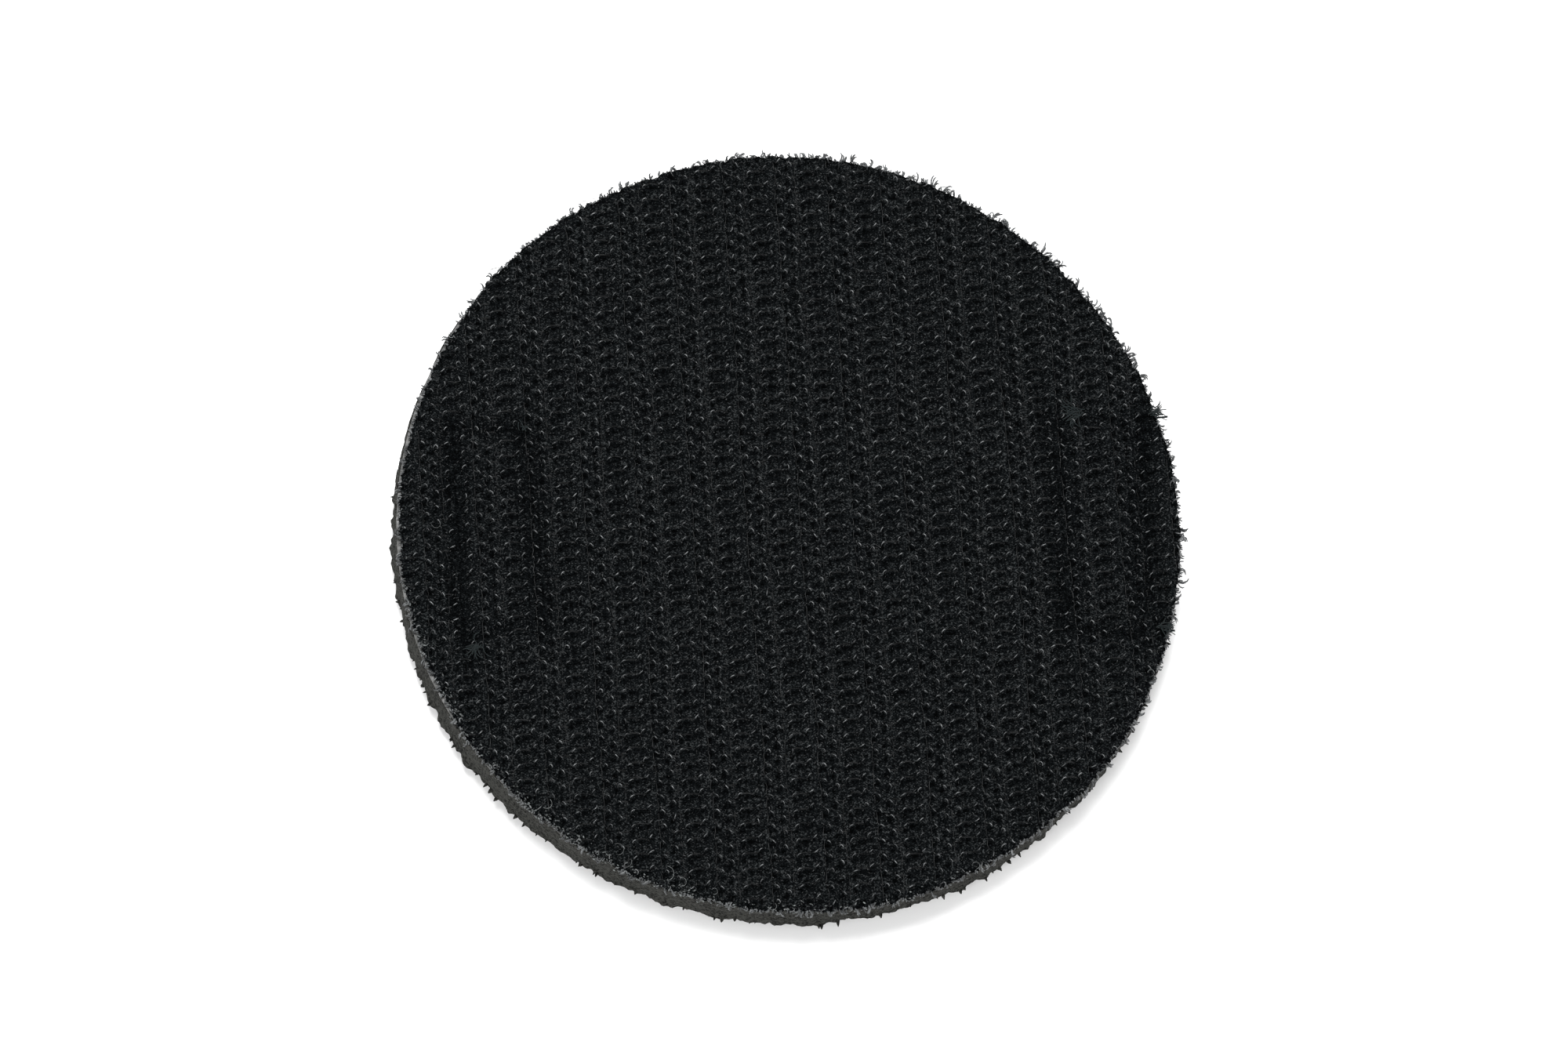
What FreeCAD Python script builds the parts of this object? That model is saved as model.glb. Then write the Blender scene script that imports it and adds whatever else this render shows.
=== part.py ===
"""Round hand polishing pad with a hook-fastener face and a hand strap sewn across its back.

The pad lies on its strap with the hook face up. The origin is the middle of the strap's underside,
X runs along the strap, Y across it and Z up through the layers. All sizes are in millimetres.
"""

import FreeCAD, Part
import math
import os

# Driving dimensions
PAD_DIAMETER = 125.0
STRAP_WIDTH = 38.0
STRAP_THICKNESS = 1.8
COVER_THICKNESS = 0.6
FILM_THICKNESS = 0.2
FOAM_THICKNESS = 7.5
CLOTH_THICKNESS = 0.5
PILE_HEIGHT = 1.4

THREAD = 0.45               # side of the sewing thread's square stand-in
STITCH_LENGTH = 3.2
NEEDLE_HOLE = 0.55          # the hole that the thread passes through
GROOVE_WIDTH = 2.2          # the pile that a row of stitches holds down
ROOT_HEIGHT = 0.3           # the pile's roots, which the thread lies on
THREAD_SINK = 0.1           # how far the lower thread is pulled into the webbing

SPAN_GAP = 0.3              # between the free span and the sewn ends
SPAN_CLEARANCE = 0.1        # between the free span and the cover above it
RIM_MARGIN = 0.6            # how far the layers' outer skins are trimmed inside the foam's rim
END_MARGIN = 1.5            # how far the strap's ends stop inside the rim
SEAM_MARGIN = 1.0           # webbing left inside the innermost stitches

# The closed rows of stitches, as sewn: each is a little out of square.
LEFT_CORNERS = [(-53.0, 16.0), (-42.0, 16.0), (-39.5, -15.5), (-50.5, -17.6), (-52.0, -15.5)]
RIGHT_CORNERS = [(43.0, 17.6), (56.2, 17.6), (55.6, -17.4), (43.6, -16.8)]

# Levels, from the surface that the strap lies on
COVER_Z = STRAP_THICKNESS
LOWER_FILM_Z = COVER_Z + COVER_THICKNESS
FOAM_Z = LOWER_FILM_Z + FILM_THICKNESS
UPPER_FILM_Z = FOAM_Z + FOAM_THICKNESS
CLOTH_Z = UPPER_FILM_Z + FILM_THICKNESS
PILE_Z = CLOTH_Z + CLOTH_THICKNESS
TOP_Z = PILE_Z + PILE_HEIGHT
LOCK_Z = FOAM_Z + FOAM_THICKNESS / 2

PAD_RADIUS = PAD_DIAMETER / 2
SKIN_RADIUS = PAD_RADIUS - RIM_MARGIN
LEFT_SEAM_X = max(x for x, y in LEFT_CORNERS) + SEAM_MARGIN
RIGHT_SEAM_X = min(x for x, y in RIGHT_CORNERS) - SEAM_MARGIN


def disc(radius, bottom, height):
    return Part.makeCylinder(radius, height, FreeCAD.Vector(0, 0, bottom))


def block(x0, x1, y0, y1, z0, z1):
    return Part.makeBox(x1 - x0, y1 - y0, z1 - z0, FreeCAD.Vector(x0, y0, z0))


def bar(start, end, width, bottom, top):
    """A bar of the given width from start to end, running on half a width past both."""
    length = math.dist(start, end) + width
    angle = math.degrees(math.atan2(end[1] - start[1], end[0] - start[0]))
    solid = Part.makeBox(length, width, top - bottom, FreeCAD.Vector(-width / 2, -width / 2, 0))
    solid.rotate(FreeCAD.Vector(0, 0, 0), FreeCAD.Vector(0, 0, 1), angle)
    solid.translate(FreeCAD.Vector(start[0], start[1], bottom))
    return solid


def fused(solids):
    return solids[0].multiFuse(solids[1:]).removeSplitter()


def sides(corners):
    return list(zip(corners, corners[1:] + corners[:1]))


def stitch_holes(corners):
    """The needle's places along the closed row, evenly spaced on each side."""
    places = []
    for start, end in sides(corners):
        count = max(1, round(math.dist(start, end) / STITCH_LENGTH))
        for i in range(count):
            share = i / count
            places.append((start[0] + share * (end[0] - start[0]), start[1] + share * (end[1] - start[1])))
    return places


def posts(corners, width, bottom, top):
    """An upright square post at each needle place."""
    half = width / 2
    return [block(x - half, x + half, y - half, y + half, bottom, top) for x, y in stitch_holes(corners)]


def row(corners, width, bottom, top):
    """A bar along each side of the closed row."""
    return [bar(start, end, width, bottom, top) for start, end in sides(corners)]


def needle_thread(corners):
    """The upper thread: it lies on the pile's roots and dips to the lock in mid-foam at each hole."""
    bottom = PILE_Z + ROOT_HEIGHT
    top = bottom + THREAD
    return fused(row(corners, THREAD, bottom, top) + posts(corners, THREAD, LOCK_Z, top))


def bobbin_thread(corners):
    """The lower thread: it lies in the strap's underside and rises to the same lock."""
    bottom = THREAD_SINK
    top = bottom + THREAD
    return fused(row(corners, THREAD, bottom, top) + posts(corners, THREAD, bottom, LOCK_Z))


def pierced(layer):
    """A layer with the needle holes of both rows of stitches."""
    holes = posts(LEFT_CORNERS, NEEDLE_HOLE, 0, TOP_Z) + posts(RIGHT_CORNERS, NEEDLE_HOLE, 0, TOP_Z)
    return layer.cut(holes)


def hook_pile():
    """The envelope of the standing hooks, with the grooves that the stitches press into them."""
    pile = disc(SKIN_RADIUS, PILE_Z, PILE_HEIGHT)
    bottom = PILE_Z + ROOT_HEIGHT
    grooves = row(LEFT_CORNERS, GROOVE_WIDTH, bottom, TOP_Z) + row(RIGHT_CORNERS, GROOVE_WIDTH, bottom, TOP_Z)
    return pierced(pile.cut(grooves))


def strap_piece(x0, x1, top, reach):
    """A length of the webbing between x0 and x1, trimmed to the round pad."""
    half = STRAP_WIDTH / 2
    return block(x0, x1, -half, half, 0, top).common(disc(reach, 0, top))


def strap_end(x0, x1, corners):
    """A sewn end of the strap, with the lower thread's groove and the needle holes in it."""
    end = strap_piece(x0, x1, STRAP_THICKNESS, PAD_RADIUS - END_MARGIN)
    return pierced(end.cut(row(corners, NEEDLE_HOLE, 0, THREAD_SINK + NEEDLE_HOLE)))


def build():
    return {
        "hand_strap": strap_piece(
            LEFT_SEAM_X + SPAN_GAP, RIGHT_SEAM_X - SPAN_GAP, STRAP_THICKNESS - SPAN_CLEARANCE, PAD_RADIUS
        ),
        "left_strap_end": strap_end(-PAD_RADIUS, LEFT_SEAM_X, LEFT_CORNERS),
        "right_strap_end": strap_end(RIGHT_SEAM_X, PAD_RADIUS, RIGHT_CORNERS),
        "back_cover": pierced(disc(SKIN_RADIUS, COVER_Z, COVER_THICKNESS)),
        "back_bond_film": pierced(disc(SKIN_RADIUS, LOWER_FILM_Z, FILM_THICKNESS)),
        "foam_core": pierced(disc(PAD_RADIUS, FOAM_Z, FOAM_THICKNESS)),
        "face_bond_film": pierced(disc(SKIN_RADIUS, UPPER_FILM_Z, FILM_THICKNESS)),
        "hook_cloth": pierced(disc(SKIN_RADIUS, CLOTH_Z, CLOTH_THICKNESS)),
        "hook_pile": hook_pile(),
        "left_needle_thread": needle_thread(LEFT_CORNERS),
        "left_bobbin_thread": bobbin_thread(LEFT_CORNERS),
        "right_needle_thread": needle_thread(RIGHT_CORNERS),
        "right_bobbin_thread": bobbin_thread(RIGHT_CORNERS),
    }


os.makedirs("parts", exist_ok=True)
for name, shape in build().items():
    shape.exportStep(os.path.join("parts", name + ".step"))
    print(name, "solids", len(shape.Solids), "valid", shape.isValid(), "volume", round(shape.Volume, 1))
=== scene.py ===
"""A round hand polishing pad, hook face up: what it looks like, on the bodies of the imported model.

Shapes are worked out in millimetres and made in metres. X runs along the strap, Y across it, Z up.
"""

import math
import random

import bpy
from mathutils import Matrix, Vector, noise


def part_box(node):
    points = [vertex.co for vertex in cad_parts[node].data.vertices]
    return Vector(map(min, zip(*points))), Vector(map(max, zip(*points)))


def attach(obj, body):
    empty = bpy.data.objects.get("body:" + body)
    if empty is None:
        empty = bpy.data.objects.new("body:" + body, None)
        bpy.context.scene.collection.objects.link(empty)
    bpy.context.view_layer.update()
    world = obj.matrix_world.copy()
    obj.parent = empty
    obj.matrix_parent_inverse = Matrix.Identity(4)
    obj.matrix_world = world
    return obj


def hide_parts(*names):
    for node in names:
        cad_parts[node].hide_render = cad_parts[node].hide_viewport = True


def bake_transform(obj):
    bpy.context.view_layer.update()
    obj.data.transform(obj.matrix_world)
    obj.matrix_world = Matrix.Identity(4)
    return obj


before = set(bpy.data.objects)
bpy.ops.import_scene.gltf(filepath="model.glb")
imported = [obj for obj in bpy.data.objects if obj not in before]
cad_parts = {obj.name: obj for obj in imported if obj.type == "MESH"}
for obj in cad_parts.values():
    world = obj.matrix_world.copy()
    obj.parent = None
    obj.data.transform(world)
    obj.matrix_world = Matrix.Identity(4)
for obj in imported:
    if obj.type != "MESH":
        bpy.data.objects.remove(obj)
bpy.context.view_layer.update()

MM = 0.001
TURN = 2 * math.pi


# ---- Sizes from the frame ------------------------------------------------------------------------

def corners_mm(node):
    """The lowest and highest corners of a CAD node, in millimetres."""
    low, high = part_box(node)
    return [v / MM for v in low], [v / MM for v in high]


def bottom_of(node):
    return corners_mm(node)[0][2]


def top_of(node):
    return corners_mm(node)[1][2]


PAD_RADIUS = corners_mm("foam_core")[1][0]
FOAM_BOTTOM = bottom_of("foam_core")
FOAM_TOP = top_of("foam_core")
COVER_BOTTOM = bottom_of("back_cover")
COVER_TOP = top_of("back_cover")
CLOTH_BOTTOM = bottom_of("hook_cloth")
PILE_BOTTOM = bottom_of("hook_pile")
PILE_TOP = top_of("hook_pile")
STRAP_TOP = top_of("left_strap_end")
STRAP_HALF = corners_mm("hand_strap")[1][1]
STRAP_LEFT = corners_mm("left_strap_end")[0][0]
STRAP_RIGHT = corners_mm("right_strap_end")[1][0]

# The hook cloth's weave. Four columns of hooks make one repeat across. Each has its own shift down the row,
# its own step aside from an even spacing, and its own lean in degrees: positive like a slash, negative like a
# backslash. Beside the hooks are open pits, each given by its offset, half width, half height and strength.
# Some hooks start a float of ground yarn, given by its offset and length.
COLUMN = 2.12               # from one column of hooks to the next
ROW = 2.4                   # from one hook to the next in its column
SHEAR = 0.042               # how far the columns run aside for each millimetre along them
COLUMN_KINDS = [
    {"shift": 0.00, "aside": 0.10, "lean": 40, "height": 0.95, "float": None,
     "pits": [(-0.1, -0.7, 0.50, 0.40, 0.6)]},
    {"shift": 0.91, "aside": 0.17, "lean": -42, "height": 1.05, "float": None,
     "pits": [(-0.3, -0.5, 0.60, 0.42, 1.05)]},
    {"shift": 1.82, "aside": -0.15, "lean": -46, "height": 1.05, "float": (0.1, 0.36, 1.2),
     "pits": [(-0.45, -0.55, 0.50, 0.42, 0.95)]},
    {"shift": 0.78, "aside": -0.40, "lean": 33, "height": 1.0, "float": (0.1, 0.50, 2.1),
     "pits": [(0.1, -0.75, 0.50, 0.40, 0.8), (1.25, -0.10, 0.88, 0.38, 0.9)]},
]
GROUND_RISE = 0.28          # the cloth's surface above the bottom of the pile
PIT_DEPTH = 0.42            # how far a pit of full strength goes down
HOOK_MARGIN = 0.15          # how far a full hook stays below the pile's top
HOOK_HEIGHT = PILE_TOP - PILE_BOTTOM - HOOK_MARGIN
FILAMENT = 0.085            # a hook filament's radius
PIT_BIN = 2.5               # side of the square bins that the pits are sorted into
RIM_FALL = 5                # how far inside the rim the face starts to fall
RAGGED_SIDE = math.radians(40)      # where round the rim the cut is most ragged
FLECKED_RIM = (165, 300, 235)       # in degrees round the rim, where flecks start, end and are thickest

# Where the rows of stitches turn, as shares of the box that the upper thread fills.
LEFT_TURNS = [(0.0, 1.0), (0.8, 1.0), (1.0, 0.06), (0.18, 0.0), (0.07, 0.06)]
RIGHT_TURNS = [(0.0, 1.0), (1.0, 1.0), (0.955, 0.0), (0.045, 0.02)]
PULL_DEPTH = 0.38           # how far a row of stitches draws the pile down
ALONG_PULL = (2.2, 0.75)    # its reach on each side and its strength, for a row that runs with the wales
CROSS_PULL = (1.1, 0.7)     # the same for a row that runs across them, where the stiff pile closes over it


def row_corners(node, turns):
    low, high = corners_mm(node)
    return [(low[0] + u * (high[0] - low[0]), low[1] + v * (high[1] - low[1])) for u, v in turns]


LEFT_ROW = row_corners("left_needle_thread", LEFT_TURNS)
RIGHT_ROW = row_corners("right_needle_thread", RIGHT_TURNS)


def closed_sides(corners):
    return list(zip(corners, corners[1:] + corners[:1]))


# Both boxes are sewn on past their corners: the right-hand one to the rim, the left-hand one a little.
RIGHT_OVERRUNS = [(RIGHT_ROW[1], (61.4, 18.6)), (RIGHT_ROW[2], (60.8, -17.0))]
LEFT_OVERRUNS = [(LEFT_ROW[3], (-50.6, -21.6))]
SEWN_LINES = closed_sides(LEFT_ROW) + closed_sides(RIGHT_ROW) + RIGHT_OVERRUNS + LEFT_OVERRUNS
SEWN_INSIDE = 34            # no stitch comes nearer the middle than this


# ---- Shared shape helpers ------------------------------------------------------------------------

def lump(x, y, z=0.0):
    """Smooth noise from about -1 to 1, one lump per unit."""
    return noise.noise(Vector((x, y, z)))


def direction(heading, climb=0.0):
    """One step along a heading in the plane, and the given climb."""
    return Vector((math.cos(heading), math.sin(heading), climb))


def around_axis(angle, radius, height):
    return Vector((radius * math.cos(angle), radius * math.sin(angle), height))


def distance_to(line, x, y):
    (ax, ay), (bx, by) = line
    dx, dy = bx - ax, by - ay
    share = ((x - ax) * dx + (y - ay) * dy) / (dx * dx + dy * dy)
    share = min(1.0, max(0.0, share))
    return math.hypot(x - ax - share * dx, y - ay - share * dy)


def runs_with_wales(line):
    (ax, ay), (bx, by) = line
    return abs(by - ay) > abs(bx - ax)


def pull(x, y):
    """How strongly the stitches draw the cloth down here, from 0 to 1. The groove's edges are ragged."""
    if abs(x) < SEWN_INSIDE:
        return 0.0
    strongest = 0.0
    for line in SEWN_LINES:
        reach, strength = ALONG_PULL if runs_with_wales(line) else CROSS_PULL
        away = distance_to(line, x, y)
        away += 0.35 * lump(x / 0.9, y / 0.9, 31.0)
        away += 0.5 * lump(x / 2.6, y / 2.6, 33.0)
        strongest = max(strongest, strength * math.exp(-((max(0.0, away) / reach) ** 2)))
    return strongest


# The unevenness of the cut rim, coarse to fine: about how many lumps to a radian, their size, and which layer
# of the noise they come from.
RIM_LUMPS = ((2.2, 0.30, 7.0), (14, 0.30, 3.0), (38, 0.30, 9.0), (85, 0.32, 15.0))


def rim_radius(angle):
    """The hand-cut rim of the hook cloth: a little long across the strap, fuller at +X, uneven all round."""
    cx, cy = math.cos(angle), math.sin(angle)
    radius = PAD_RADIUS - 0.8 + 0.65 * cy * cy + 0.3 * cx
    for fineness, size, layer in RIM_LUMPS:
        radius += size * lump(fineness * cx, fineness * cy, layer)
    return radius


def rim_gap(x, y):
    """How far inside the cut rim this point is."""
    return rim_radius(math.atan2(y, x)) - math.hypot(x, y)


def sag(x, y):
    """The slow rise and fall of the pad's face, which drops away near the rim."""
    edge = max(0.0, math.hypot(x, y) - (PAD_RADIUS - RIM_FALL)) / RIM_FALL
    return 0.16 * lump(x / 17, y / 17, 1.0) - 0.35 * edge * edge


def weave_warp(x, y):
    """Where a point of the straight weave ends up on the real, slightly wandering cloth."""
    wander_x = 0.30 * lump(x / 13, y / 13, 11.0) + 0.06 * lump(x / 4, y / 4, 13.0)
    wander_y = 0.35 * lump(x / 11, y / 11, 17.0) + 0.07 * lump(x / 4, y / 4, 19.0)
    return x - SHEAR * y + wander_x, y + wander_y


def hook_places():
    """Yields x, y and kind for each hook of the cloth, before the rim and the stitches take theirs away."""
    columns = math.ceil(PAD_RADIUS / COLUMN) + 1
    rows = math.ceil(PAD_RADIUS / ROW) + 1
    for i in range(-columns, columns + 1):
        kind = COLUMN_KINDS[i % 4]
        for j in range(-rows, rows + 1):
            x, y = weave_warp(i * COLUMN + kind["aside"], -(j * ROW + kind["shift"]))
            yield x, y, kind


def gather_pits():
    """All the pits of the weave, sorted into square bins so that those near a point are quickly found."""
    bins = {}
    for x, y, kind in hook_places():
        for dx, dy, half_x, half_y, strength in kind["pits"]:
            size = 0.72 + 0.3 * lump(x / 1.9, y / 1.9, 41.0)
            strength *= 0.85 + 0.6 * lump(x / 1.3, y / 1.3, 43.0)
            pit = (x + dx, y + dy, half_x * size, half_y * size, strength)
            key = (math.floor(pit[0] / PIT_BIN), math.floor(pit[1] / PIT_BIN))
            bins.setdefault(key, []).append(pit)
    return bins


PITS = gather_pits()


def hollow(x, y):
    """How deep in a pit of the weave this point is: 0 outside, about 1 at the bottom of a full pit."""
    i, j = math.floor(x / PIT_BIN), math.floor(y / PIT_BIN)
    depth = 0.0
    for near_i in (i - 1, i, i + 1):
        for near_j in (j - 1, j, j + 1):
            for px, py, half_x, half_y, strength in PITS.get((near_i, near_j), ()):
                away = ((x - px) / half_x) ** 2 + ((y - py) / half_y) ** 2
                if away < 5:
                    depth = max(depth, strength * math.exp(-0.9 * away))
    return depth


def ground_height(x, y):
    """The cloth's surface: low wales along Y, open pits between them, and the pull of the stitches."""
    straight_x = x + SHEAR * y
    wale = math.cos(TURN * straight_x / (COLUMN / 2) - 0.6)
    height = PILE_BOTTOM + GROUND_RISE + 0.04 * wale - PIT_DEPTH * hollow(x, y)
    height += 0.16 * lump(x / 0.55, y / 0.55, 5.0)
    return max(height + sag(x, y) - PULL_DEPTH * pull(x, y), CLOTH_BOTTOM + 0.12)


class Shape:
    """Points in millimetres and faces, gathered into one mesh."""

    def __init__(self):
        self.points = []
        self.faces = []

    def ring(self, centre, across, up, radius, sides):
        first = len(self.points)
        for s in range(sides):
            angle = TURN * s / sides
            self.points.append(centre + (across * math.cos(angle) + up * math.sin(angle)) * radius)
        return first

    def bridge(self, a, b, sides):
        for s in range(sides):
            t = (s + 1) % sides
            self.faces.append((a + s, a + t, b + t, b + s))

    def tube(self, path, radii, sides, across=None):
        """A tube along the path, with flat ends. across is the first ring's direction."""
        rings = []
        last = len(path) - 1
        if across is None:
            across = Vector((0.31, 0.17, 0.93))
        for k, centre in enumerate(path):
            ahead = (path[min(k + 1, last)] - path[max(k - 1, 0)]).normalized()
            across = (across - ahead * across.dot(ahead)).normalized()
            rings.append(self.ring(centre, across, ahead.cross(across), radii[k], sides))
        for a, b in zip(rings, rings[1:]):
            self.bridge(a, b, sides)
        self.faces.append(tuple(range(rings[0] + sides - 1, rings[0] - 1, -1)))
        self.faces.append(tuple(range(rings[-1], rings[-1] + sides)))

    def strand(self, path, radius, plies, pitch):
        """A twisted thread: plies wound round the path, each a square tube of its own."""
        winding = radius * 0.52
        for ply in range(plies):
            wound = []
            travelled = 0.0
            across = Vector((0.31, 0.17, 0.93))
            for k, centre in enumerate(path):
                ahead = path[min(k + 1, len(path) - 1)] - path[max(k - 1, 0)]
                ahead.normalize()
                across = (across - ahead * across.dot(ahead)).normalized()
                if k:
                    travelled += (centre - path[k - 1]).length
                angle = TURN * (ply / plies + travelled / pitch)
                aside = across * math.cos(angle) + ahead.cross(across) * math.sin(angle)
                wound.append(centre + aside * winding)
            self.tube(wound, [radius * 0.55] * len(wound), 4)

    def make(self, name, material):
        """The finished piece. Its sides are shaded smooth and its flat ends are not."""
        mesh = bpy.data.meshes.new(name)
        mesh.from_pydata([(p[0] * MM, p[1] * MM, p[2] * MM) for p in self.points], [], self.faces)
        mesh.validate()
        mesh.polygons.foreach_set("use_smooth", [len(face.vertices) <= 4 for face in mesh.polygons])
        mesh.materials.append(material)
        piece = bpy.data.objects.new(name, mesh)
        bpy.context.scene.collection.objects.link(piece)
        return piece


# ---- Materials -----------------------------------------------------------------------------------

class Finish:
    """A node material, built up from named steps. Texture places are in millimetres on the object."""

    def __init__(self, name, roughness, specular, sheen=0.0, sheen_roughness=0.5):
        self.material = bpy.data.materials.new(name)
        self.material.use_nodes = True
        self.tree = self.material.node_tree
        self.shader = self.tree.nodes["Principled BSDF"]
        self.shader.inputs["Roughness"].default_value = roughness
        self.shader.inputs["Specular IOR Level"].default_value = specular
        self.shader.inputs["Sheen Weight"].default_value = sheen
        self.shader.inputs["Sheen Roughness"].default_value = sheen_roughness
        coordinates = self.tree.nodes.new("ShaderNodeTexCoord")
        scaled = self.tree.nodes.new("ShaderNodeVectorMath")
        scaled.operation = "SCALE"
        scaled.inputs["Scale"].default_value = 1 / MM
        self.link(coordinates.outputs["Object"], scaled.inputs[0])
        self.place = scaled.outputs[0]
        parts = self.tree.nodes.new("ShaderNodeSeparateXYZ")
        self.link(self.place, parts.inputs[0])
        self.x, self.y, _ = parts.outputs

    def link(self, source, target):
        self.tree.links.new(source, target)

    def math(self, operation, a, b=None, c=None):
        node = self.tree.nodes.new("ShaderNodeMath")
        node.operation = operation
        for socket, value in zip(node.inputs, (a, b, c)):
            if value is None:
                continue
            if isinstance(value, (int, float)):
                socket.default_value = value
            else:
                self.link(value, socket)
        return node.outputs[0]

    def stretched(self, sx, sy, sz):
        node = self.tree.nodes.new("ShaderNodeVectorMath")
        node.operation = "MULTIPLY"
        node.inputs[1].default_value = (sx, sy, sz)
        self.link(self.place, node.inputs[0])
        return node.outputs[0]

    def noise(self, lumps_per_mm, detail=3.0, place=None, distortion=0.0):
        node = self.tree.nodes.new("ShaderNodeTexNoise")
        node.inputs["Scale"].default_value = lumps_per_mm
        node.inputs["Detail"].default_value = detail
        node.inputs["Distortion"].default_value = distortion
        self.link(place or self.place, node.inputs["Vector"])
        return node.outputs["Fac"]

    def cells(self, cells_per_mm):
        node = self.tree.nodes.new("ShaderNodeTexVoronoi")
        node.inputs["Scale"].default_value = cells_per_mm
        self.link(self.place, node.inputs["Vector"])
        return node.outputs["Distance"]

    def attribute(self, name):
        """A value kept on the mesh's own points."""
        node = self.tree.nodes.new("ShaderNodeAttribute")
        node.attribute_name = name
        return node.outputs["Fac"]

    def wave(self, value, period, phase=0.0):
        """A sine of the value from 0 to 1, with the given period in millimetres."""
        angle = self.math("MULTIPLY_ADD", value, TURN / period, phase)
        return self.math("MULTIPLY_ADD", self.math("SINE", angle), 0.5, 0.5)

    def ramp(self, value, stops):
        node = self.tree.nodes.new("ShaderNodeValToRGB")
        elements = node.color_ramp.elements
        while len(elements) < len(stops):
            elements.new(0.5)
        for element, (position, colour) in zip(elements, stops):
            element.position = position
            element.color = (*colour, 1)
        self.link(value, node.inputs[0])
        return node.outputs["Color"]

    def grey(self, value, stops):
        return self.ramp(value, [(position, (level, level, level)) for position, level in stops])

    def colour(self, source):
        self.link(source, self.shader.inputs["Base Color"])

    def roughness(self, source):
        self.link(source, self.shader.inputs["Roughness"])

    def bump(self, height, millimetres, strength=1.0):
        node = self.tree.nodes.new("ShaderNodeBump")
        node.inputs["Strength"].default_value = strength
        node.inputs["Distance"].default_value = millimetres * MM
        self.link(height, node.inputs["Height"])
        self.link(node.outputs["Normal"], self.shader.inputs["Normal"])
        return self.material


PAINTED_SHADE_ATTRIBUTE = "hollow"            # the name of the painted shade kept on the hook cloth's points, for its pits and stitched grooves


def ground_finish():
    """Black knitted nylon: slanting filaments in wales and rows. Its colour carries painted shade, near black
    in the open pits and the stitched grooves, darker low in the weave and lighter on its crests.
    """
    f = Finish("hook_cloth_ground", 0.75, 0.015)
    straight = f.math("MULTIPLY_ADD", f.y, SHEAR, f.x)
    chevron = f.math("PINGPONG", straight, COLUMN / 2)
    filaments = f.wave(f.math("MULTIPLY_ADD", chevron, 0.8, f.y), 0.40)
    wale = f.wave(straight, COLUMN / 2, -0.6 + TURN / 4)
    fibre = f.noise(2.2, 4.0, f.stretched(0.8, 2.0, 1.0), 1.0)
    fine = f.noise(4.2, 1.0)
    height = f.math("MULTIPLY_ADD", filaments, 0.25, f.math("MULTIPLY", wale, 0.14))
    height = f.math("MULTIPLY_ADD", fibre, 1.3, height)
    height = f.math("MULTIPLY_ADD", fine, 1.5, height)
    speck = f.math("MULTIPLY", f.math("SUBTRACT", f.noise(3.2, 1.0), 0.5), 1.0)
    # Painted shade in the colour: darkest in the pits and stitched grooves, darker low in the weave and
    # lighter on its crests.
    shade = f.math("MULTIPLY_ADD", f.attribute(PAINTED_SHADE_ATTRIBUTE), -0.44, f.math("MULTIPLY_ADD", height, 0.40, speck))
    f.colour(f.ramp(shade, [
        (0.30, (0.0004, 0.0005, 0.0006)),
        (0.50, (0.0016, 0.0020, 0.0023)),
        (0.70, (0.0048, 0.0057, 0.0063)),
        (0.92, (0.0340, 0.0370, 0.0380)),
    ]))
    return f.bump(height, 0.20, 1.0)


def filament_finish(name, level, roughness, specular):
    """Extruded nylon filament: near black, a little see-through and glossy, uneven from one to the next, with
    a painted glint on the few where the tone runs highest.
    """
    f = Finish(name, roughness, specular)
    patch = f.noise(0.55, 3.0)
    streak = f.noise(4.0, 2.0, f.stretched(1.0, 1.0, 3.0))
    tone = f.math("MULTIPLY_ADD", streak, 0.7, f.math("MULTIPLY", patch, 0.8))
    # The top stop, over three times the level, paints glints on a few filaments; below it the tone is their
    # own unevenness.
    f.colour(f.ramp(tone, [
        (0.55, (0.20 * level, 0.22 * level, 0.24 * level)),
        (0.75, (0.92 * level, 0.98 * level, 1.02 * level)),
        (0.95, (3.2 * level, 3.35 * level, 3.4 * level)),
    ]))
    f.roughness(f.grey(streak, [(0.3, roughness * 0.8), (0.7, min(1.0, roughness * 1.3))]))
    return f.bump(streak, 0.02, 0.5)


def fibre_finish():
    """Loose broken fibres at the rim, paler than the cloth because they carry foam dust."""
    f = Finish("rim_fibre", 0.45, 0.5)
    tone = f.noise(1.4, 2.0)
    f.colour(f.ramp(tone, [
        (0.35, (0.016, 0.018, 0.018)),
        (0.55, (0.050, 0.056, 0.056)),
        (0.72, (0.130, 0.142, 0.140)),
    ]))
    return f.bump(f.noise(9.0), 0.02, 0.4)


def foam_finish():
    """Dark olive-grey foam: matte, with open cells torn by the knife, a dusty, uneven colour and painted
    shade down in the cells.
    """
    f = Finish("foam_cut", 0.92, 0.05)
    pores = f.cells(1.9)
    small = f.cells(3.6)
    scrape = f.noise(1.6, 5.0, f.stretched(1.0, 1.0, 0.35), 0.5)
    patch = f.noise(0.2, 2.0)
    height = f.math("MULTIPLY_ADD", small, 0.9, pores)
    height = f.math("MULTIPLY_ADD", scrape, 0.8, height)
    # Painted shade: the colour follows the bump height, darker down in the cells. The slow patches are the
    # foam's own uneven tone.
    shade = f.math("MULTIPLY_ADD", patch, 0.25, f.math("MULTIPLY", height, 0.40))
    f.colour(f.ramp(shade, [
        (0.40, (0.0036, 0.0038, 0.0034)),
        (0.56, (0.0122, 0.0125, 0.0114)),
        (0.74, (0.0400, 0.0405, 0.0370)),
    ]))
    return f.bump(height, 0.30, 1.0)


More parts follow.
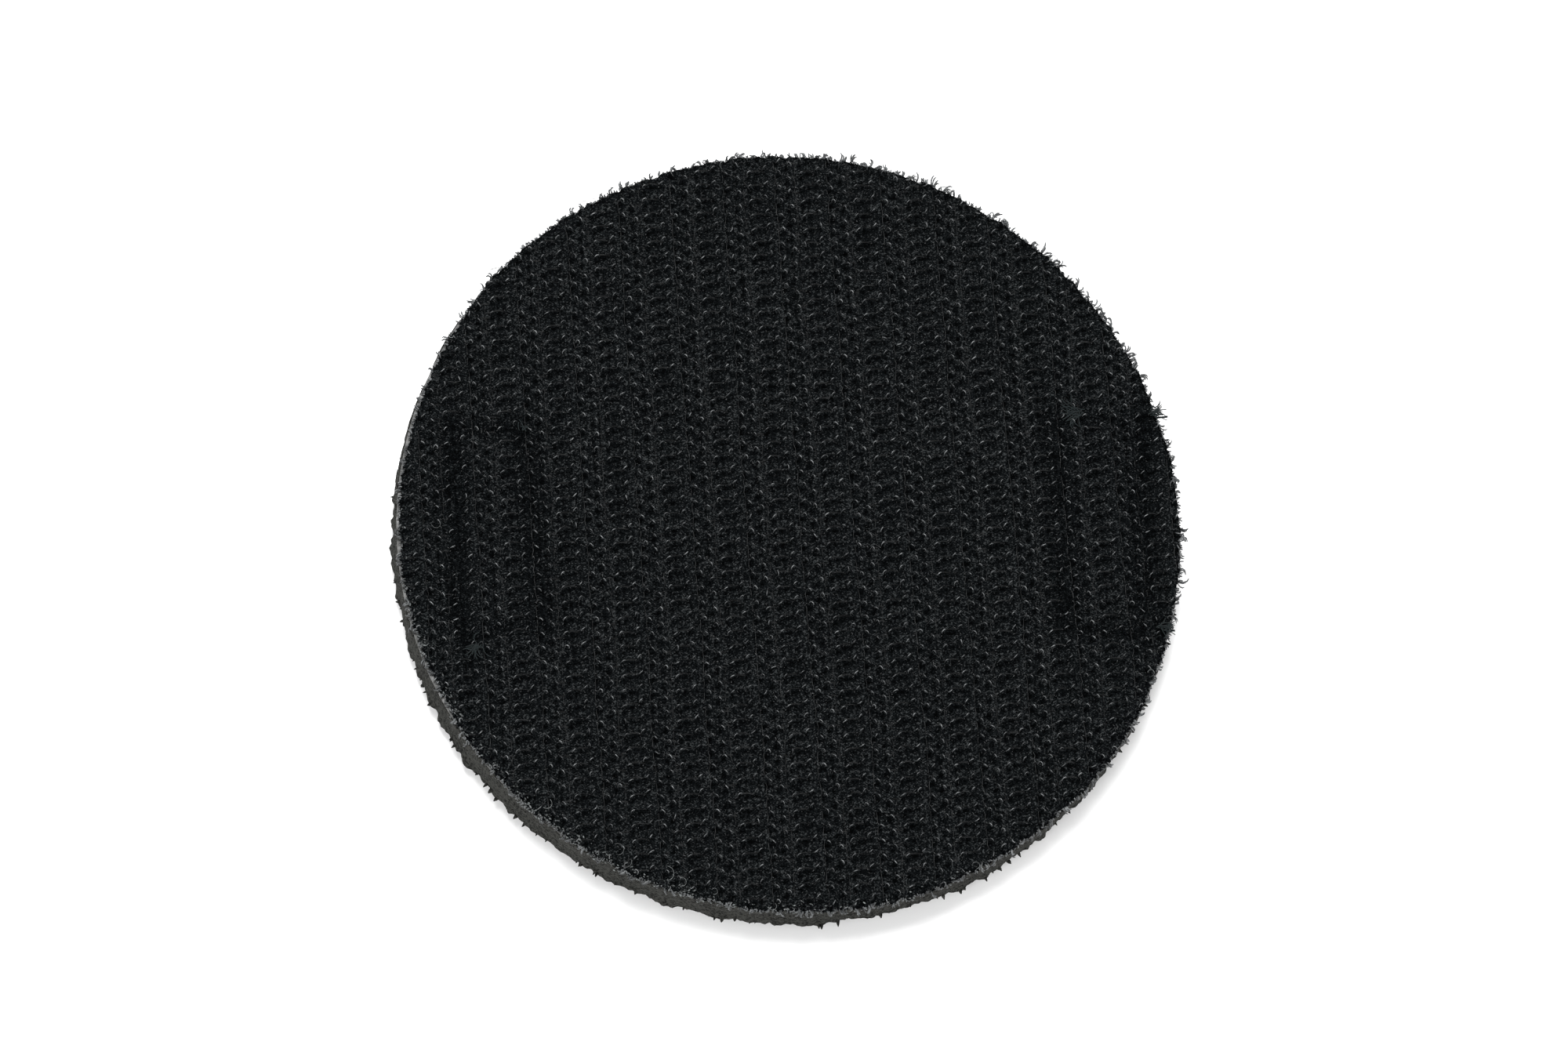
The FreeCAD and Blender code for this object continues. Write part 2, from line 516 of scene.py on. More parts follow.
def cover_finish():
    """Black tricot: fine wales with short slanting laps, brushed to a soft nap, with painted shade where the
    knit lies low.
    """
    f = Finish("cover_tricot", 0.88, 0.2, sheen=0.12, sheen_roughness=0.4)
    wale = f.wave(f.x, 0.9)
    lean = f.math("SINE", f.math("MULTIPLY", f.x, TURN / 1.8))
    laps = f.wave(f.math("MULTIPLY_ADD", f.math("MULTIPLY", lean, f.x), 0.2, f.y), 0.55)
    nap = f.noise(4.5, 4.0)
    height = f.math("MULTIPLY_ADD", laps, 0.4, f.math("MULTIPLY", wale, 0.5))
    height = f.math("MULTIPLY_ADD", nap, 0.6, height)
    # Painted shade: the colour follows the bump height, darker between the wales and laps than on them.
    f.colour(f.ramp(f.math("MULTIPLY", height, 0.7), [
        (0.25, (0.006, 0.0065, 0.007)),
        (0.60, (0.016, 0.017, 0.018)),
        (0.90, (0.036, 0.038, 0.040)),
    ]))
    return f.bump(height, 0.12, 0.8)


def webbing_finish():
    """Black elastic webbing: ribs over the rubber cords with a fine weft across them, with painted shade
    where the weave lies low.
    """
    f = Finish("elastic_webbing", 0.7, 0.3, sheen=0.08)
    weft = f.wave(f.x, 0.62)
    brick = f.wave(f.y, 2 * STRAP_HALF / RIBS)
    stagger = f.wave(f.math("MULTIPLY_ADD", brick, 0.31, f.x), 0.62)
    yarn = f.noise(5.0, 3.0, f.stretched(0.5, 2.0, 1.0))
    height = f.math("MULTIPLY_ADD", stagger, 0.5, f.math("MULTIPLY", weft, 0.25))
    height = f.math("MULTIPLY_ADD", yarn, 0.5, height)
    # Painted shade: the colour follows the bump height, darker between the ribs and weft yarns than on them.
    f.colour(f.ramp(f.math("MULTIPLY", height, 0.8), [
        (0.20, (0.004, 0.0045, 0.005)),
        (0.60, (0.014, 0.015, 0.016)),
        (0.95, (0.034, 0.036, 0.038)),
    ]))
    return f.bump(height, 0.14, 0.9)


def thread_finish():
    """Twisted polyester sewing thread, black with a cold blue-green cast."""
    f = Finish("sewing_thread", 0.75, 0.15, sheen=0.05)
    fray = f.noise(6.0, 3.0)
    f.colour(f.ramp(fray, [
        (0.30, (0.0025, 0.0040, 0.0043)),
        (0.55, (0.0060, 0.0105, 0.0112)),
        (0.80, (0.0120, 0.0200, 0.0210)),
    ]))
    return f.bump(fray, 0.04, 0.6)


def film_finish():
    """Hot-melt adhesive film: greyish, smeared and slightly glossy."""
    f = Finish("bond_film", 0.5, 0.5)
    smear = f.noise(0.6, 3.0, None, 1.0)
    f.colour(f.ramp(smear, [(0.35, (0.018, 0.018, 0.017)), (0.70, (0.060, 0.061, 0.058))]))
    f.roughness(f.grey(smear, [(0.3, 0.35), (0.7, 0.65)]))
    return f.bump(smear, 0.08, 0.5)


def floor_finish():
    """A smooth white studio sweep with the faintest unevenness."""
    f = Finish("studio_floor", 0.9, 0.1)
    f.colour(f.grey(f.noise(0.004, 2.0), [(0.3, 0.90), (0.7, 0.93)]))
    return f.material


# ---- The hook cloth ------------------------------------------------------------------------------

GRID_X = COLUMN / 6.5       # the sheet's squares
GRID_Y = ROW / 6.0
GRID_MARGIN = 0.25          # how far inside the rim the squares stop, before their edge is drawn out to it
TUCK = 0.9985               # how much the turned-down edge is drawn in


def snapped_to_rim(x, y):
    angle = math.atan2(y, x)
    radius = rim_radius(angle) + 0.12 * lump(x / 0.35, y / 0.35, 23.0)
    return radius * math.cos(angle), radius * math.sin(angle)


def painted_pit_and_groove_shade(x, y):
    """How much shade is painted into the cloth's colour here, from 0 to 1: in a pit, or in the groove along a
    row of stitches.
    """
    groove = pull(x, y) * (0.38 + 0.50 * lump(x / 1.6, y / 1.6, 37.0))
    return min(1.0, max(hollow(x, y), groove))


def squares_inside_rim():
    """The grid squares that lie inside the rim, each as its four corners in turn."""
    columns = math.ceil(1.02 * PAD_RADIUS / GRID_X)
    rows = math.ceil(1.02 * PAD_RADIUS / GRID_Y)
    inside = set()
    for i in range(-columns, columns + 1):
        for j in range(-rows, rows + 1):
            if rim_gap(i * GRID_X, j * GRID_Y) > GRID_MARGIN:
                inside.add((i, j))
    squares = []
    for i, j in sorted(inside):
        square = [(i, j), (i + 1, j), (i + 1, j + 1), (i, j + 1)]
        if all(corner in inside for corner in square):
            squares.append(square)
    return squares


def hook_cloth():
    """The knitted ground: one fine sheet over the face, turned down at the cut rim."""
    shape = Shape()
    squares = squares_inside_rim()
    sides = {side for square in squares for side in closed_sides(square)}
    rim = sorted((a, b) for a, b in sides if (b, a) not in sides)
    on_rim = {corner for side in rim for corner in side}
    upper = {}
    for corner in sorted({corner for square in squares for corner in square}):
        x, y = corner[0] * GRID_X, corner[1] * GRID_Y
        if corner in on_rim:
            x, y = snapped_to_rim(x, y)
        upper[corner] = len(shape.points)
        shape.points.append(Vector((x, y, ground_height(x, y))))
    lower = {}
    for corner in sorted(on_rim):
        x, y = shape.points[upper[corner]].xy
        uneven = 0.15 * lump(x / 0.8, y / 0.8, 29.0)
        lower[corner] = len(shape.points)
        shape.points.append(Vector((x * TUCK, y * TUCK, CLOTH_BOTTOM + 0.1 + uneven + sag(x, y))))
    for square in squares:
        shape.faces.append(tuple(upper[corner] for corner in square))
    for a, b in rim:
        shape.faces.append((upper[b], upper[a], lower[a], lower[b]))
    piece = shape.make("hook_cloth_ground", ground_finish())
    # Painted shade for the pits and the stitched grooves, kept on the points for the cloth's colour.
    painted_shades = [painted_pit_and_groove_shade(v.co.x / MM, v.co.y / MM) for v in piece.data.vertices]
    piece.data.attributes.new(PAINTED_SHADE_ATTRIBUTE, "FLOAT", "POINT").data.foreach_set("value", painted_shades)
    return piece


# A hook in its own upright plane, as shares of its reach and height: foot, stem, crown and the curled tip.
HOOK_OUTLINE = [
    (-0.46, -0.15), (-0.51, 0.64), (-0.35, 0.90), (-0.10, 1.00),
    (0.18, 0.98), (0.42, 0.82), (0.50, 0.60), (0.40, 0.44),
]
HOOK_REACH = 0.68
STRAY_SHARE = 0.06          # the share of hooks that lie across the others
STRAY_TURN = math.radians(70)
SPLAY_ZONE = 1.0            # how near the rim the hooks splay outward


def hook_path(x, y, foot, heading, reach, height, tilt):
    """The hook's line. heading is its plane's direction and tilt how far its crown leans out of the plane."""
    along = direction(heading)
    aside = Vector((-along.y, along.x, 0))
    base = Vector((x, y, foot))
    upward = Vector((0, 0, height))
    return [base + along * (u * reach) + aside * (tilt * v) + upward * v for u, v in HOOK_OUTLINE]


def standing_hooks(rng):
    """Every hook of the face, in its column, leaning as its column leans. At the rim they splay outward."""
    shape = Shape()
    for x, y, kind in hook_places():
        gap = rim_gap(x, y)
        drawn = pull(x, y)
        heading = math.radians(kind["lean"] + rng.gauss(0, 6))
        reach = HOOK_REACH * rng.uniform(0.88, 1.10)
        height = HOOK_HEIGHT * kind["height"] * rng.uniform(0.86, 1.04)
        tilt = rng.gauss(0, 0.14)
        stray = rng.random() < STRAY_SHARE
        if gap < 0.1 or drawn > rng.uniform(0.6, 1.9):
            continue
        if stray:
            heading += rng.choice((-1, 1)) * STRAY_TURN
        if gap < SPLAY_ZONE:
            heading = math.atan2(y, x) + rng.gauss(0, 0.8)
            tilt += rng.gauss(0, 0.3)
        height *= 1 - 0.5 * drawn
        path = hook_path(x, y, ground_height(x, y), heading, reach, height, tilt)
        across = direction(heading + TURN / 4)
        shape.tube(path, [FILAMENT] * (len(path) - 1) + [FILAMENT * 0.8], 5, across)
    return shape.make("standing_hooks", filament_finish("hook_filament", 0.048, 0.26, 0.46))


def cut_stubs(rng):
    """The short cut ends that stand beside the hooks, where each loop was opened."""
    shape = Shape()
    for x, y, kind in hook_places():
        heading = math.radians(kind["lean"] + 180 + rng.gauss(0, 25))
        out = HOOK_REACH * rng.uniform(0.75, 1.0)
        lean = rng.uniform(0.15, 0.45)
        height = HOOK_HEIGHT * rng.uniform(0.35, 0.6)
        bend = rng.gauss(0, 0.12)
        sx = x + out * math.cos(heading)
        sy = y + out * math.sin(heading)
        if rim_gap(sx, sy) < 0.5 or pull(sx, sy) > 0.75:
            continue
        foot = ground_height(sx, sy) - 0.1
        along = direction(heading)
        aside = Vector((-along.y, along.x, 0))
        path = []
        for k in range(4):
            share = k / 3
            rise = height * math.sin(share * 1.35)
            drift = along * (lean * share * share) + aside * (bend * share)
            path.append(Vector((sx, sy, foot + rise)) + drift)
        shape.tube(path, [FILAMENT * 0.95] * 4, 4)
    return shape.make("cut_stubs", filament_finish("stub_filament", 0.018, 0.36, 0.26))


def cross_floats(rng):
    """The ground yarn that floats over the wide pits, bowed along the row, in one or two filaments."""
    shape = Shape()
    steps = 5
    thickness = 0.034
    for x, y, kind in hook_places():
        spread = rng.uniform(0.88, 1.12)
        bow = rng.uniform(0.05, 0.32)
        filaments = rng.choice((1, 2, 2))
        slope = rng.gauss(0.0, 0.05)
        if not kind["float"]:
            continue
        aside, ahead, length = kind["float"]
        length *= spread
        if pull(x + length / 2, y) > 0.5 or rim_gap(x + length, y) < 0.6:
            continue
        for n in range(filaments):
            path = []
            for k in range(steps + 1):
                share = k / steps
                arch = math.sin(math.pi * share)
                px = x + aside + length * share
                py = y + ahead + (slope * share - 0.10 * n) * length ** 0.3 + bow * arch - 0.12
                pz = PILE_BOTTOM + 0.32 + sag(px, py) + 0.10 * arch - 0.06 * n
                path.append(Vector((px, py, pz)))
            shape.tube(path, [thickness] * (steps + 1), 4)
    return shape.make("cross_floats", filament_finish("float_yarn", 0.011, 0.5, 0.12))


def ground_loops(rng):
    """Short limbs of the knitted loops, which show between the hooks and dive back into the cloth."""
    shape = Shape()
    limbs = 3
    dive = Vector((0, 0, 0.09))
    for x, y, _ in hook_places():
        for _ in range(limbs):
            loop_x = x + rng.uniform(-0.5, 0.5) * COLUMN
            loop_y = y + rng.uniform(-0.5, 0.5) * ROW
            heading = math.radians(rng.choice((5, 40, -40, 85)) + rng.gauss(0, 15))
            half = rng.uniform(0.14, 0.30)
            if rim_gap(loop_x, loop_y) < 0.4:
                continue
            crown = Vector((loop_x, loop_y, ground_height(loop_x, loop_y) + 0.05))
            along = direction(heading) * half
            shape.tube([crown - along - dive, crown, crown + along - dive], [0.045, 0.07, 0.045], 4)
    return shape.make("ground_loops", filament_finish("loop_yarn", 0.015, 0.45, 0.16))


# The straight yarns of one repeat: how many columns across each lies, and its radius.
WALE_YARNS = ((0.76, 0.06), (2.35, 0.05))


def wale_yarns(rng):
    """Fine straight yarns that run down the cloth beside the leaning columns."""
    shape = Shape()
    step = 0.8
    count = math.ceil(PAD_RADIUS / step)
    repeats = math.ceil(PAD_RADIUS / (4 * COLUMN)) + 1
    for repeat in range(-repeats, repeats + 1):
        for place, radius in WALE_YARNS:
            straight_x = (4 * repeat + place) * COLUMN
            path = []
            for k in range(-count, count + 1):
                x, y = weave_warp(straight_x, k * step)
                if rim_gap(x, y) < 0.4:
                    continue
                z = PILE_BOTTOM + 0.24 + 0.07 * math.sin(TURN * k * step / ROW)
                z += sag(x, y) - PULL_DEPTH * pull(x, y)
                path.append(Vector((x + rng.gauss(0, 0.09), y, z + rng.gauss(0, 0.03))))
            if len(path) > 3:
                shape.tube(path, [radius] * len(path), 4)
    return shape.make("wale_yarns", filament_finish("wale_yarn", 0.010, 0.5, 0.12))


def rim_fringe(rng):
    """Cut ends crowded all round the rim, with the profile of a whole hook standing out here and there."""
    shape = Shape()
    tufts = 700
    strands = 3
    steps = 4
    for n in range(tufts):
        middle = TURN * (n + rng.random()) / tufts
        wild = max(0.0, math.cos(middle - RAGGED_SIDE))
        whole = rng.random() < 0.26 + 0.22 * wild
        aim = middle + rng.gauss(0, 0.5)
        reach = rng.uniform(0.7, 1.35) if whole else rng.uniform(0.25, 0.6)
        bend = rng.choice((-1, 1)) * rng.uniform(0.6, 1.8) if whole else 0.0
        for _ in range(strands):
            angle = middle + rng.gauss(0, 0.1 if whole else 0.3) / PAD_RADIUS
            heading = aim + rng.gauss(0, 0.18 if whole else 0.6)
            length = reach * rng.uniform(0.7, 1.15) * (1 + 0.3 * wild)
            climb = rng.gauss(0.1, 0.3)
            radius = rim_radius(angle) - 0.15
            height = rng.uniform(CLOTH_BOTTOM + 0.2, PILE_TOP - 0.5) + sag(PAD_RADIUS, 0)
            thickness = rng.uniform(0.10, 0.15)
            point = around_axis(angle, radius, height)
            path = [point]
            for k in range(steps):
                heading += bend * k / 6
                point = point + direction(heading, climb) * (length / steps)
                climb -= 0.12
                path.append(point)
            shape.tube(path, [thickness] * steps + [thickness * 0.5], 4)
    return shape.make("rim_fringe", filament_finish("fringe_filament", 0.045, 0.34, 0.36))


# Long fibres that have worked loose. Each has the angle round the rim where it starts, in degrees, how far
# inside the rim that is, its length, which way it sets off from the outward direction, and how far it curls.
LOOSE_FIBRES = [
    (242, 1.4, 3.4, 110, 200), (244, 2.0, 2.4, 60, -150), (250, 1.0, 3.4, 100, 170), (252, 0.8, 2.8, 80, 230),
    (257, 0.9, 2.2, 70, 260), (45, 1.0, 3.6, -60, 210), (48, 0.4, 3.0, 10, 160), (180, 5.0, 2.4, 100, 190),
    (149, 0.2, 2.2, -10, 300), (336, 0.3, 2.4, 20, 250), (320, 0.2, 2.2, -20, 280), (345, 0.2, 2.0, 5, 260),
    (64, 0.2, 2.2, 15, 150), (229, 1.4, 2.6, 80, 180), (266, 1.0, 2.4, 60, -210), (30, 0.6, 2.4, 100, 160),
    (198, 0.4, 2.0, 30, 200), (120, 0.3, 2.0, -30, 190), (98, 0.3, 2.2, 60, 170), (296, 0.3, 2.2, 60, 220),
]


def loose_fibres(rng):
    """Long curled fibres lying over the rim."""
    shape = Shape()
    for degrees, inside, length, aim, curl in LOOSE_FIBRES:
        angle = math.radians(degrees)
        radius = rim_radius(angle) - inside
        heading = angle + math.radians(aim)
        steps = 14
        point = around_axis(angle, radius, PILE_TOP - 0.35)
        path = [point]
        for k in range(steps):
            heading += math.radians(curl) / steps * rng.uniform(0.7, 1.3)
            drop = 0.03 * math.sin(3 * k / steps) - 0.02
            point = point + direction(heading, drop) * (length / steps)
            path.append(point)
        thickness = rng.uniform(0.03, 0.055)
        shape.tube(path, [thickness] * (steps + 1), 5)
    return shape.make("loose_fibres", FIBRE)


def rim_flecks(rng):
    """Pale crumbs of adhesive and fibre between the cloth and the foam, thick along one part of the rim."""
    shape = Shape()
    flecks = 620
    for _ in range(flecks):
        angle = math.radians(rng.triangular(*FLECKED_RIM))
        height = rng.uniform(CLOTH_BOTTOM, PILE_BOTTOM + 1.0) + sag(PAD_RADIUS, 0)
        radius = rim_radius(angle) + rng.uniform(-1.3, 0.45)
        size = rng.uniform(0.05, 0.17)
        heading = angle + rng.choice((-1, 1)) * rng.uniform(0.6, 2.2)
        step = direction(heading, rng.gauss(0, 0.4)) * size * 1.6
        centre = around_axis(angle, radius, height)
        shape.tube([centre - step, centre, centre + step], [size * 0.5, size, size * 0.4], 5)
    return shape.make("rim_flecks", FIBRE)


# ---- The foam and the back -----------------------------------------------------------------------

def foam_radius(angle, height):
    """The knife-cut wall: nearly upright and torn unevenly, most of all at the lower edge."""
    share = (height - FOAM_BOTTOM) / (FOAM_TOP - FOAM_BOTTOM)
    cx, cy = math.cos(angle), math.sin(angle)
    radius = PAD_RADIUS - 0.15 - 0.35 * share
    radius += 0.35 * lump(9 * cx, 9 * cy, height / 5)
    radius += 0.16 * lump(45 * cx, 45 * cy, height / 0.9)
    torn = max(0.0, 0.35 - share) / 0.35
    tear = lump(30 * cx, 30 * cy, 50.0) + 0.6 * lump(80 * cx, 80 * cy, 60.0)
    return radius + torn * 0.55 * tear


def foam_body(rng):
    """The foam core: wall rings between two flat faces, with crumbs left along the lower edge."""
    shape = Shape()
    around = 1100
    levels = 14
    rings = []
    for k in range(levels + 1):
        height = FOAM_BOTTOM + (FOAM_TOP - FOAM_BOTTOM) * k / levels
        rings.append(len(shape.points))
        for s in range(around):
            angle = TURN * s / around
            radius = foam_radius(angle, height)
            z = height
            if 0 < k < levels:
                z += 0.08 * lump(40 * math.cos(angle), 40 * math.sin(angle), k)
            shape.points.append(around_axis(angle, radius, z))
    for a, b in zip(rings, rings[1:]):
        shape.bridge(a, b, around)
    shape.faces.append(tuple(range(around - 1, -1, -1)))
    shape.faces.append(tuple(range(rings[-1], rings[-1] + around)))
    crumbs = 150
    for _ in range(crumbs):
        angle = TURN * rng.random()
        height = FOAM_BOTTOM + 0.15 + abs(rng.gauss(0, 0.7))
        size = rng.uniform(0.15, 0.42)
        radius = foam_radius(angle, height) + 0.1
        centre = around_axis(angle, radius, height)
        out = direction(angle, rng.gauss(-0.2, 0.4))
        path = [centre - out * size, centre + out * size * 0.4, centre + out * size * rng.uniform(1.0, 2.0)]
        shape.tube(path, [size, size * 0.75, size * 0.2], 5)
    return shape.make("foam_body", foam_finish())


def cover_underside(x, y):
    return COVER_BOTTOM + 0.06 + 0.06 * lump(x / 5, y / 5, 80.0)


def back_cover():
    """The tricot under the foam: one closed sheet with a soft, uneven cut edge."""
    shape = Shape()
    around = 360
    edge = PAD_RADIUS - 1.3
    ring_radii = [2.0 * k for k in range(1, 30)] + [edge - 1.7, edge - 0.6, edge]
    shape.points.append(Vector((0, 0, cover_underside(0, 0))))
    sheets = []
    for level in (cover_underside, lambda x, y: COVER_TOP):
        rings = []
        for radius in ring_radii:
            rings.append(len(shape.points))
            for s in range(around):
                angle = TURN * s / around
                cx, cy = math.cos(angle), math.sin(angle)
                wobble = 0.25 * lump(12 * cx, 12 * cy, 70.0) if radius == edge else 0.0
                x, y = (radius + wobble) * cx, (radius + wobble) * cy
                shape.points.append(Vector((x, y, level(x, y))))
        sheets.append(rings)
    lower, upper = sheets
    for s in range(around):
        shape.faces.append((0, lower[0] + (s + 1) % around, lower[0] + s))
    for a, b in zip(lower, lower[1:]):
        shape.bridge(a, b, around)
    shape.bridge(lower[-1], upper[-1], around)
    for a, b in zip(upper, upper[1:]):
        shape.bridge(b, a, around)
    shape.faces.append(tuple(range(upper[0], upper[0] + around)))
    return shape.make("back_tricot", cover_finish())


RIBS = 16
END_MARGIN = 1.5            # how far the strap's ends stop inside the rim


def webbing_section(steps):
    """The webbing across its width: for each y, how full its rounded edge is and how high its rib is."""
    section = []
    for k in range(steps + 1):
        y = -STRAP_HALF + 2 * STRAP_HALF * k / steps
        edge = min(1.0, (STRAP_HALF - abs(y)) / 0.9)
        rounding = math.sqrt(max(0.0, 1 - (1 - edge) ** 2))
        rib = 0.5 + 0.5 * math.cos(TURN * RIBS * (y + STRAP_HALF) / (2 * STRAP_HALF) + math.pi)
        section.append((y, rounding, rib))
    return section


def webbing(name, start, end):
    """A length of the webbing from start to end along X. A sewn end is cut to the pad's round outline."""
    shape = Shape()
    steps = 96
    section = webbing_section(steps)
    lengths = 76
    lip = 0.0004            # a ring this close to each end keeps the shading straight up to it
    middle = STRAP_TOP / 2
    rings = []
    for share in [0.0, lip] + [k / lengths for k in range(1, lengths)] + [1.0 - lip, 1.0]:
        rings.append(len(shape.points))
        for side in (-1, 1):
            line = section if side < 0 else section[::-1]
            for y, rounding, rib in line:
                reach = math.sqrt((PAD_RADIUS - END_MARGIN) ** 2 - y * y)
                x0 = max(-reach, start)
                x1 = min(reach, end)
                x = x0 + share * (x1 - x0)
                pinch = 0.25 * max(0.0, pull(x, y) - 0.2)
                half = (middle - 0.02 - 0.09 * (1 - rib)) * (0.25 + 0.75 * rounding)
                z = middle + side * (half - (pinch if side < 0 else 0))
                shape.points.append(Vector((x, y, z)))
    around = 2 * (steps + 1)
    for a, b in zip(rings, rings[1:]):
        shape.bridge(a, b, around)
    shape.faces.append(tuple(range(rings[0] + around - 1, rings[0] - 1, -1)))
    shape.faces.append(tuple(range(rings[-1], rings[-1] + around)))
    return shape.make(name, WEBBING)


# ---- The sewing ----------------------------------------------------------------------------------

STITCH = 3.2
THREAD_RADIUS = 0.2
PLIES = 3
TWIST = 1.1                 # the length in which the plies go once round each other
BACK_LEVEL = 0.5            # where the lower thread comes up into the needle holes


def stitched_path(corners, level, rise, dip, closed=True):
    """The thread's line along a row: up over each stitch and down into each needle hole."""
    lines = closed_sides(corners) if closed else list(zip(corners, corners[1:]))
    path = []
    for (ax, ay), (bx, by) in lines:
        length = math.dist((ax, ay), (bx, by))
        count = max(1, round(length / STITCH))
        beads = 9
        for k in range(count * beads):
            share = k / (count * beads)
            phase = (k % beads) / beads
            x = ax + share * (bx - ax)
            y = ay + share * (by - ay)
            path.append(Vector((x, y, level(x, y) + rise * math.sin(math.pi * phase) ** 0.5 - dip)))
    return path


def face_thread(name, corners, overruns):
    """The upper thread as it shows in the grooves of the face."""
    shape = Shape()
    bow, dip = 0.12, 0.34
    shape.strand(stitched_path(corners, ground_height, bow, dip), THREAD_RADIUS, PLIES, TWIST)
    for line in overruns:
        shape.strand(stitched_path(line, ground_height, bow, dip, closed=False), THREAD_RADIUS, PLIES, TWIST)
    return shape.make(name, THREAD)


def back_thread(name, corners):
    """The lower thread, drawn into the underside of the webbing."""
    shape = Shape()
    shape.strand(stitched_path(corners, lambda x, y: BACK_LEVEL, -0.22, 0.0), THREAD_RADIUS, PLIES, TWIST)
    return shape.make(name, THREAD)


# Thread ends left on the face: where each starts, the way it sets off in degrees, its length and how many
# frayed fibres it has opened into.
FACE_TAILS = [
    ((46.6, 18.9), 200, 3.6, 26), ((58.5, 18.7), 4, 2.4, 20), ((58.2, -16.8), -8, 2.9, 14),
    ((-49.4, -19.6), 230, 2.8, 16), ((-42.0, 15.6), 120, 1.6, 6),
]


def thread_tails(rng):
    """Frayed ends of the sewing thread, lying on the face where each row was begun and ended."""
    shape = Shape()
    steps = 9
    for (x, y), degrees, length, fibres in FACE_TAILS:
        for n in range(fibres):
            heading = math.radians(degrees + rng.gauss(0, 30))
            curl = rng.gauss(0, 1.0)
            start_x = x + rng.gauss(0, 0.4)
            start_y = y + rng.gauss(0, 0.3)
            point = Vector((start_x, start_y, PILE_TOP - 0.85 + rng.uniform(0, 0.35)))
            own = length * rng.uniform(0.45, 1.0)
            path = [point]
            for k in range(steps):
                heading += curl / steps
                rise = 0.10 * math.sin(k * 0.8 + n) + 0.02
                point = point + direction(heading, rise) * (own / steps)
                path.append(point)
            shape.tube(path, [0.075] * steps + [0.05], 4)
    return shape.make("thread_tails", THREAD)


# ---- Camera, floor and light ---------------------------------------------------------------------

CAMERA_SIDE = -18.1         # degrees round from straight in front
CAMERA_RISE = 71.6          # degrees above the floor
CAMERA_DISTANCE = 0.911
CAMERA_LENS = 133.0
CAMERA_AIM = (-0.0011, 0.0002)


def make_camera():
    """Looks down at the hook face, turned so that the strap's direction lies level in the picture."""
    back = Vector((
        math.sin(math.radians(CAMERA_SIDE)) * math.cos(math.radians(CAMERA_RISE)),
        -math.cos(math.radians(CAMERA_SIDE)) * math.cos(math.radians(CAMERA_RISE)),
        math.sin(math.radians(CAMERA_RISE)),
    ))
    right = (Vector((1, 0, 0)) - back * back.x).normalized()
    upward = back.cross(right)
    camera = bpy.data.objects.new("camera", bpy.data.cameras.new("camera"))
    camera.data.lens = CAMERA_LENS
    camera.data.sensor_width = 36.0
    camera.data.clip_start = 0.01
    turned = camera.matrix_world.copy()
    for row in range(3):
        turned[row][0] = right[row]
        turned[row][1] = upward[row]
        turned[row][2] = back[row]
        turned[row][3] = (Vector((*CAMERA_AIM, PILE_TOP * MM)) + back * CAMERA_DISTANCE)[row]
    camera.matrix_world = turned
    bpy.context.scene.collection.objects.link(camera)
    bpy.context.scene.camera = camera


def make_floor():
    half = 3.0
    mesh = bpy.data.meshes.new("floor")
    corners = [(-half, -half, 0), (half, -half, 0), (half, half, 0), (-half, half, 0)]
    mesh.from_pydata(corners, [], [(0, 1, 2, 3)])
    mesh.materials.append(floor_finish())
    floor = bpy.data.objects.new("floor", mesh)
    bpy.context.scene.collection.objects.link(floor)


def area_light(name, place, size, watts):
    light = bpy.data.lights.new(name, "AREA")
    light.size = size
    light.energy = watts
    lamp = bpy.data.objects.new(name, light)
    lamp.location = place
    lamp.rotation_euler = (-Vector(place)).to_track_quat("-Z", "Y").to_euler()
    bpy.context.scene.collection.objects.link(lamp)


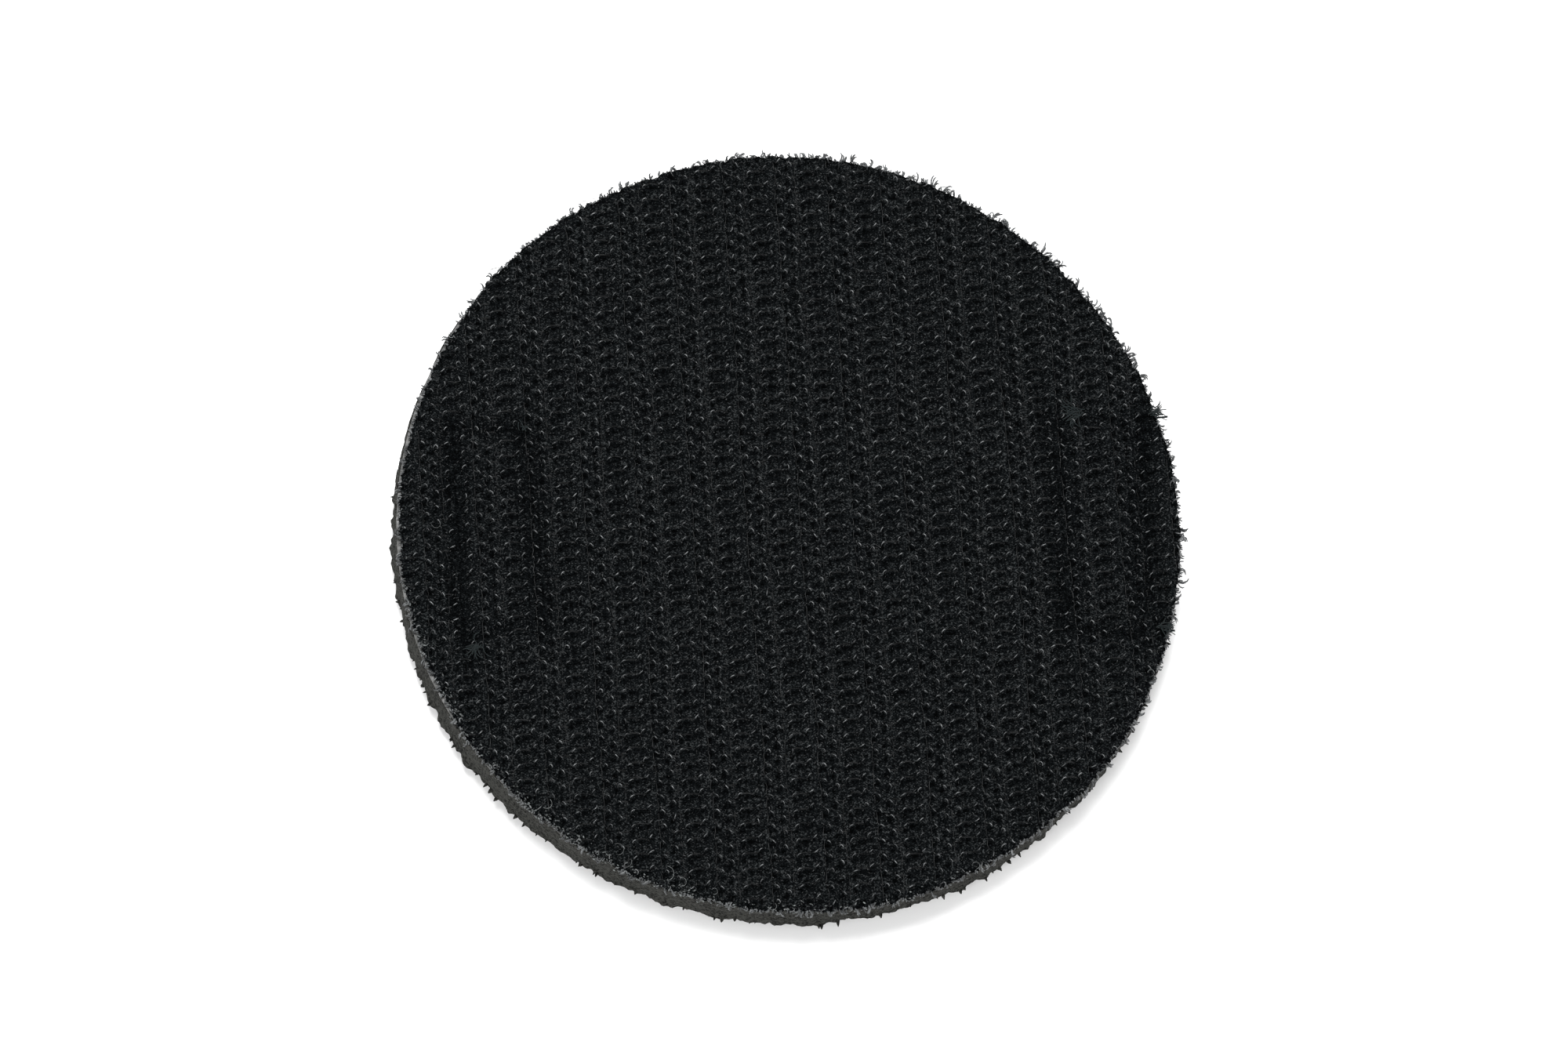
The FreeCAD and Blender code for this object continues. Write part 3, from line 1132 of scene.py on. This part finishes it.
def make_light():
    """A pale room with a soft light high above and a weaker one low at the front left."""
    world = bpy.data.worlds.new("studio")
    world.use_nodes = True
    world.node_tree.nodes["Background"].inputs["Color"].default_value = (1.0, 1.0, 1.0, 1)
    world.node_tree.nodes["Background"].inputs["Strength"].default_value = 0.85
    bpy.context.scene.world = world
    area_light("key_light", (-0.10, 0.35, 1.45), 0.5, 22)
    area_light("front_light", (-0.55, -0.85, 0.9), 0.8, 9)
    bpy.context.scene.view_settings.view_transform = "Standard"


# ---- Putting it together -------------------------------------------------------------------------

FIBRE = fibre_finish()
THREAD = thread_finish()
WEBBING = webbing_finish()


def build():
    make_camera()
    make_floor()
    make_light()

    ground = hook_cloth()
    hooks = standing_hooks(random.Random(11))
    stubs = cut_stubs(random.Random(12))
    floats = cross_floats(random.Random(13))
    loops = ground_loops(random.Random(20))
    wales = wale_yarns(random.Random(18))
    fringe = rim_fringe(random.Random(14))
    fibres = loose_fibres(random.Random(15))
    flecks = rim_flecks(random.Random(19))
    foam = foam_body(random.Random(16))
    cover = back_cover()
    left_face = face_thread("left_face_thread", LEFT_ROW, LEFT_OVERRUNS)
    right_face = face_thread("right_face_thread", RIGHT_ROW, RIGHT_OVERRUNS)
    left_back = back_thread("left_back_thread", LEFT_ROW)
    right_back = back_thread("right_back_thread", RIGHT_ROW)
    tails = thread_tails(random.Random(17))
    for piece in (
        ground, hooks, stubs, floats, loops, wales, fringe, fibres, flecks, foam, cover,
        left_face, right_face, left_back, right_back, tails,
    ):
        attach(piece, "pad")
    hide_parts("hook_cloth")
    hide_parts("hook_pile")
    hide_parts("foam_core")
    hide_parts("back_cover")
    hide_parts("left_needle_thread")
    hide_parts("right_needle_thread")
    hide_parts("left_bobbin_thread")
    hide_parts("right_bobbin_thread")

    left_strap = webbing("left_webbing", STRAP_LEFT, 0.0)
    right_strap = webbing("right_webbing", 0.0, STRAP_RIGHT)
    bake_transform(left_strap)
    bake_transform(right_strap)
    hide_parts("left_strap_end", "hand_strap")
    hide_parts("right_strap_end", "hand_strap")

    film = film_finish()
    for node in ("face_bond_film", "back_bond_film"):
        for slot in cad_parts[node].material_slots:
            slot.material = film


build()
